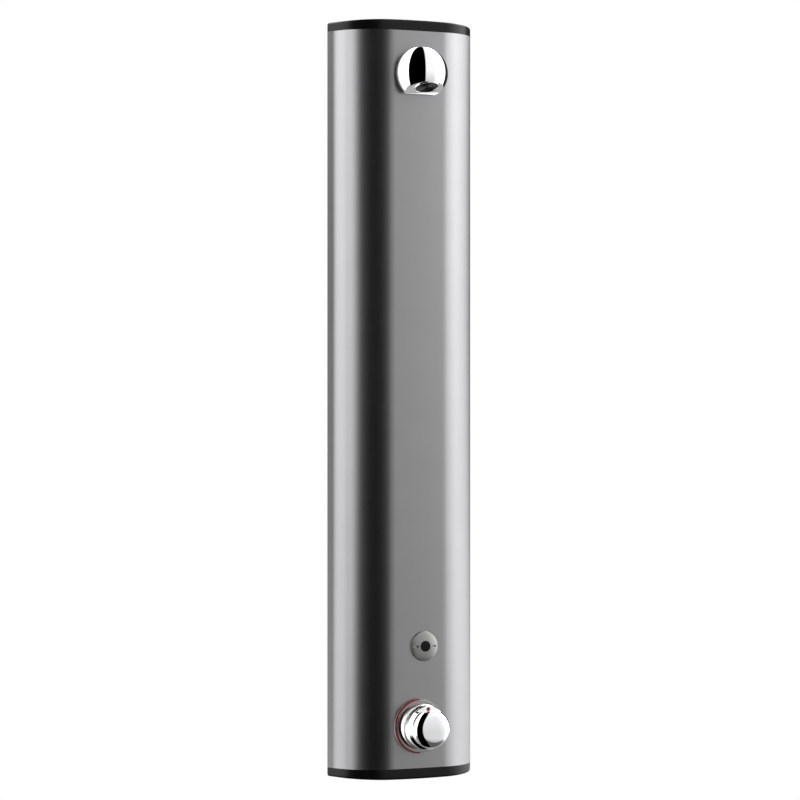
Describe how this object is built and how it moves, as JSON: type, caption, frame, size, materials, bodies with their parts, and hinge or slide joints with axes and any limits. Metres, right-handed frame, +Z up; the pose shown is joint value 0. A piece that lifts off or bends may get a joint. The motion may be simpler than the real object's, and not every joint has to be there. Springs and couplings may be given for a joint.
{
  "type": "shower panel",
  "caption": "Wall-mounted thermostatic shower panel: curved aluminium housing, fixed ball head, presence sensor and temperature knob with a stop button.",
  "frame": {"origin": "centre of the four wall screws, on the wall plane", "axes": "+Z up along the panel, +Y into the wall, +X to the right of someone facing the panel"},
  "size_m": [0.24, 0.128, 1.15],
  "materials": {
    "anodised_aluminium": "satin anodised, brushed along its length",
    "black_abs": "fine moulded grain",
    "stainless_screws": "turned stainless steel",
    "zinc_plated_steel": "bright zinc plated sheet",
    "chrome_plate": "polished chrome plate on brass",
    "nozzle_acetal": "dark moulded acetal",
    "seal_rubber": "black moulded rubber",
    "cast_brass": "cast and turned brass",
    "stainless_tube": "drawn stainless tube",
    "clip_nylon": "natural moulded nylon",
    "satin_steel": "satin turned stainless steel",
    "lens_black": "polished infrared lens",
    "housing_plastic": "moulded grey plastic",
    "cartridge_plastic": "moulded acetal",
    "cable_pvc": "black cable sheath",
    "red_marking": "red moulded insert",
    "board_laminate": "solder-masked laminate",
    "battery_wrap": "shrink-wrapped cells"
  },
  "bodies": {
    "root": {"front_profile": "anodised_aluminium", "top_cap": "black_abs", "bottom_cap": "black_abs", "top_cap_screws": "stainless_screws", "bottom_cap_screws": "stainless_screws", "bracket_lock_bolts": "stainless_screws", "clip_screws": "stainless_screws", "upper_wall_bracket": "zinc_plated_steel", "lower_wall_bracket": "zinc_plated_steel", "shower_head_body": "chrome_plate", "head_outlet_ring": "chrome_plate", "knob_collar": "chrome_plate", "spray_nozzle": "nozzle_acetal", "head_seal": "seal_rubber", "sensor_seal": "seal_rubber", "rosette_seal": "seal_rubber", "head_lock_nut": "cast_brass", "head_union_nut": "cast_brass", "mixer_body": "cast_brass", "cartridge_nut": "cast_brass", "mixer_lock_ring": "cast_brass", "hot_stop_valve": "cast_brass", "cold_stop_valve": "cast_brass", "pipe_nuts": "cast_brass", "solenoid_body": "cast_brass", "sensor_nut": "cast_brass", "riser_pipe": "stainless_tube", "hot_feed_pipe": "stainless_tube", "cold_feed_pipe": "stainless_tube", "mixed_water_pipe": "stainless_tube", "riser_clips": "clip_nylon", "sensor_bezel": "satin_steel", "base_rosette": "satin_steel", "sensor_window": "lens_black", "controller_box": "housing_plastic", "controller_lid": "housing_plastic", "solenoid_coil": "housing_plastic", "sensor_core": "housing_plastic", "thermostat_cartridge": "cartridge_plastic", "sensor_cable": "cable_pvc", "valve_cable": "cable_pvc", "temperature_arc": "red_marking", "circuit_board": "board_laminate", "battery": "battery_wrap"},
    "knob": {"thermostat_knob": "chrome_plate", "index_dot": "red_marking", "knob_grub_screw": "stainless_screws", "button_bush": "black_abs", "button_spring": "stainless_screws", "cartridge_spindle": "cast_brass"},
    "stop_button": {"stop_button": "chrome_plate"},
    "hot_stop": {"hot_stop_plug": "cast_brass"},
    "cold_stop": {"cold_stop_plug": "cast_brass"},
    "valve_plunger": {"solenoid_plunger": "stainless_screws"}
  },
  "joints": [
    {"name": "temperature_knob", "type": "hinge", "parent": "root", "child": "knob", "pos_m": [0, -0.09, -0.4945], "axis": [0, -1, 0], "range_deg": [-135, 90]},
    {"name": "stop_button_press", "type": "slide", "parent": "knob", "child": "stop_button", "axis": [0, 0, -1], "range_m": [0, 0.0025], "stiffness_N_per_m": 600, "springref_m": -0.002, "deforming": ["button_spring"]},
    {"name": "hot_stop_turn", "type": "hinge", "parent": "root", "child": "hot_stop", "pos_m": [-0.075, -0.026, -0.425], "axis": [-1, 0, 0], "range_deg": [0, 90]},
    {"name": "cold_stop_turn", "type": "hinge", "parent": "root", "child": "cold_stop", "pos_m": [0.075, -0.026, -0.425], "axis": [1, 0, 0], "range_deg": [0, 90]},
    {"name": "valve_plunger_lift", "type": "slide", "parent": "root", "child": "valve_plunger", "axis": [0, -1, 0], "range_m": [0, 0.002], "stiffness_N_per_m": 250, "springref_m": -0.001}
  ]
}
